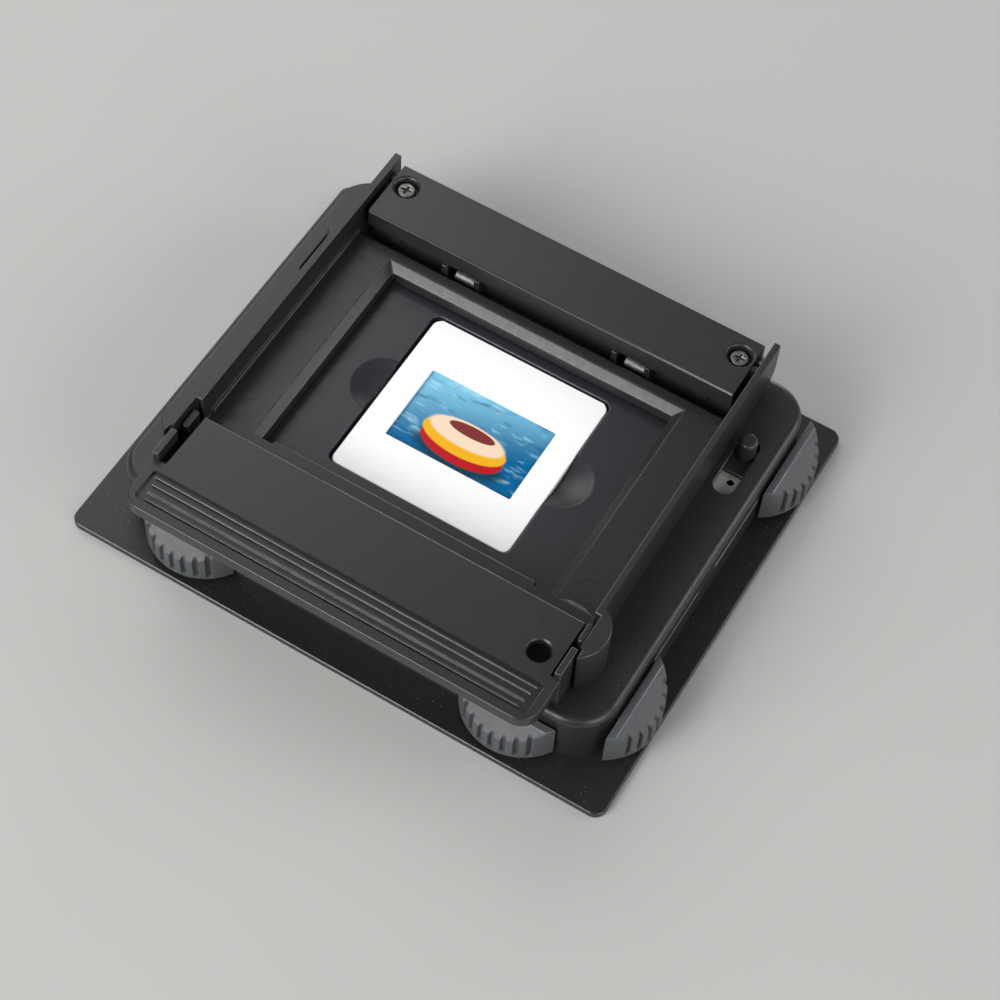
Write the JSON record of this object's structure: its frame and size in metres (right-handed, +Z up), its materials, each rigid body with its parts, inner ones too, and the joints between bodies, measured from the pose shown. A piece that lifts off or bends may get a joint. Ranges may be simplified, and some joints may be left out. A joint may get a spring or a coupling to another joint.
{
  "type": "negative carrier",
  "caption": "Flat negative carrier with a hinged upper frame, sliding masks worked by ribbed thumb slides, film pegs and an insert holding a mounted slide.",
  "frame": {"origin": "where the optical axis meets the underside of the base plate", "axes": "+X right, +Y towards the hinge, +Z up out of the carrier towards the viewer"},
  "size_m": [0.1506, 0.127, 0.0345],
  "materials": {
    "base_plate": "fine matt black powder coat",
    "casing": "fine matt grain with dust specks",
    "frame": "satin moulded black plastic",
    "insert": "satin moulded dark blue-grey plastic",
    "masks": "matt black blackened sheet",
    "knobs": "matt blue-grey",
    "pegs": "satin",
    "strip": "off-white, satin",
    "slide_mount": "smooth white",
    "film": "clear processed film",
    "screws": "blackened, worn bright at the edges",
    "steel": "plain drawn rod"
  },
  "bodies": {
    "carrier": {"base_plate": "base_plate", "lower_shell": "casing", "upper_shell": "casing", "case_screws": "screws", "hinge_block": "casing", "stop_pins": "steel", "hinge_bar": "frame", "bar_screws": "screws", "slide_insert": "insert", "latch_hook_left": "casing", "latch_hook_right": "casing", "peg_strip_left": "strip", "peg_strip_right": "strip"},
    "hinged_frame": {"upper_frame": "frame", "front_handle": "frame", "hinge_pin_left": "steel", "hinge_pin_right": "steel"},
    "slide": {"slide_mount_lower": "slide_mount", "slide_mount_upper": "slide_mount", "transparency": "film"},
    "mask_assembly_left": {"mask_left": "masks", "knob_left": "knobs", "knob_rivets_left": "steel"},
    "mask_assembly_right": {"mask_right": "masks", "knob_right": "knobs", "knob_rivets_right": "steel"},
    "mask_assembly_front": {"mask_front": "masks", "knob_front": "knobs", "knob_rivets_front": "steel"},
    "mask_assembly_back": {"mask_back": "masks", "knob_back": "knobs", "knob_rivets_back": "steel"},
    "peg_assembly_left": {"film_peg_left": "pegs", "peg_slider_left": "pegs"},
    "peg_assembly_right": {"film_peg_right": "pegs", "peg_slider_right": "pegs"}
  },
  "joints": [
    {"name": "frame_hinge", "type": "hinge", "parent": "carrier", "child": "hinged_frame", "pos_m": [0, 0.0497, 0.0295], "axis": [-1, 0, 0], "range_deg": [0, 100]},
    {"name": "slide_lift", "type": "slide", "parent": "carrier", "child": "slide", "axis": [0, 0, 1], "range_m": [0, 0.03]},
    {"name": "mask_left_slide", "type": "slide", "parent": "carrier", "child": "mask_assembly_left", "axis": [1, 0, 0], "range_m": [0, 0.023]},
    {"name": "mask_right_slide", "type": "slide", "parent": "carrier", "child": "mask_assembly_right", "axis": [-1, 0, 0], "range_m": [0, 0.023]},
    {"name": "mask_front_slide", "type": "slide", "parent": "carrier", "child": "mask_assembly_front", "axis": [0, 1, 0], "range_m": [0, 0.022]},
    {"name": "mask_back_slide", "type": "slide", "parent": "carrier", "child": "mask_assembly_back", "axis": [0, -1, 0], "range_m": [0, 0.02]},
    {"name": "peg_left_slide", "type": "slide", "parent": "carrier", "child": "peg_assembly_left", "axis": [0, -1, 0], "range_m": [0, 0.0113]},
    {"name": "peg_right_slide", "type": "slide", "parent": "carrier", "child": "peg_assembly_right", "axis": [0, -1, 0], "range_m": [0, 0.0113]}
  ]
}
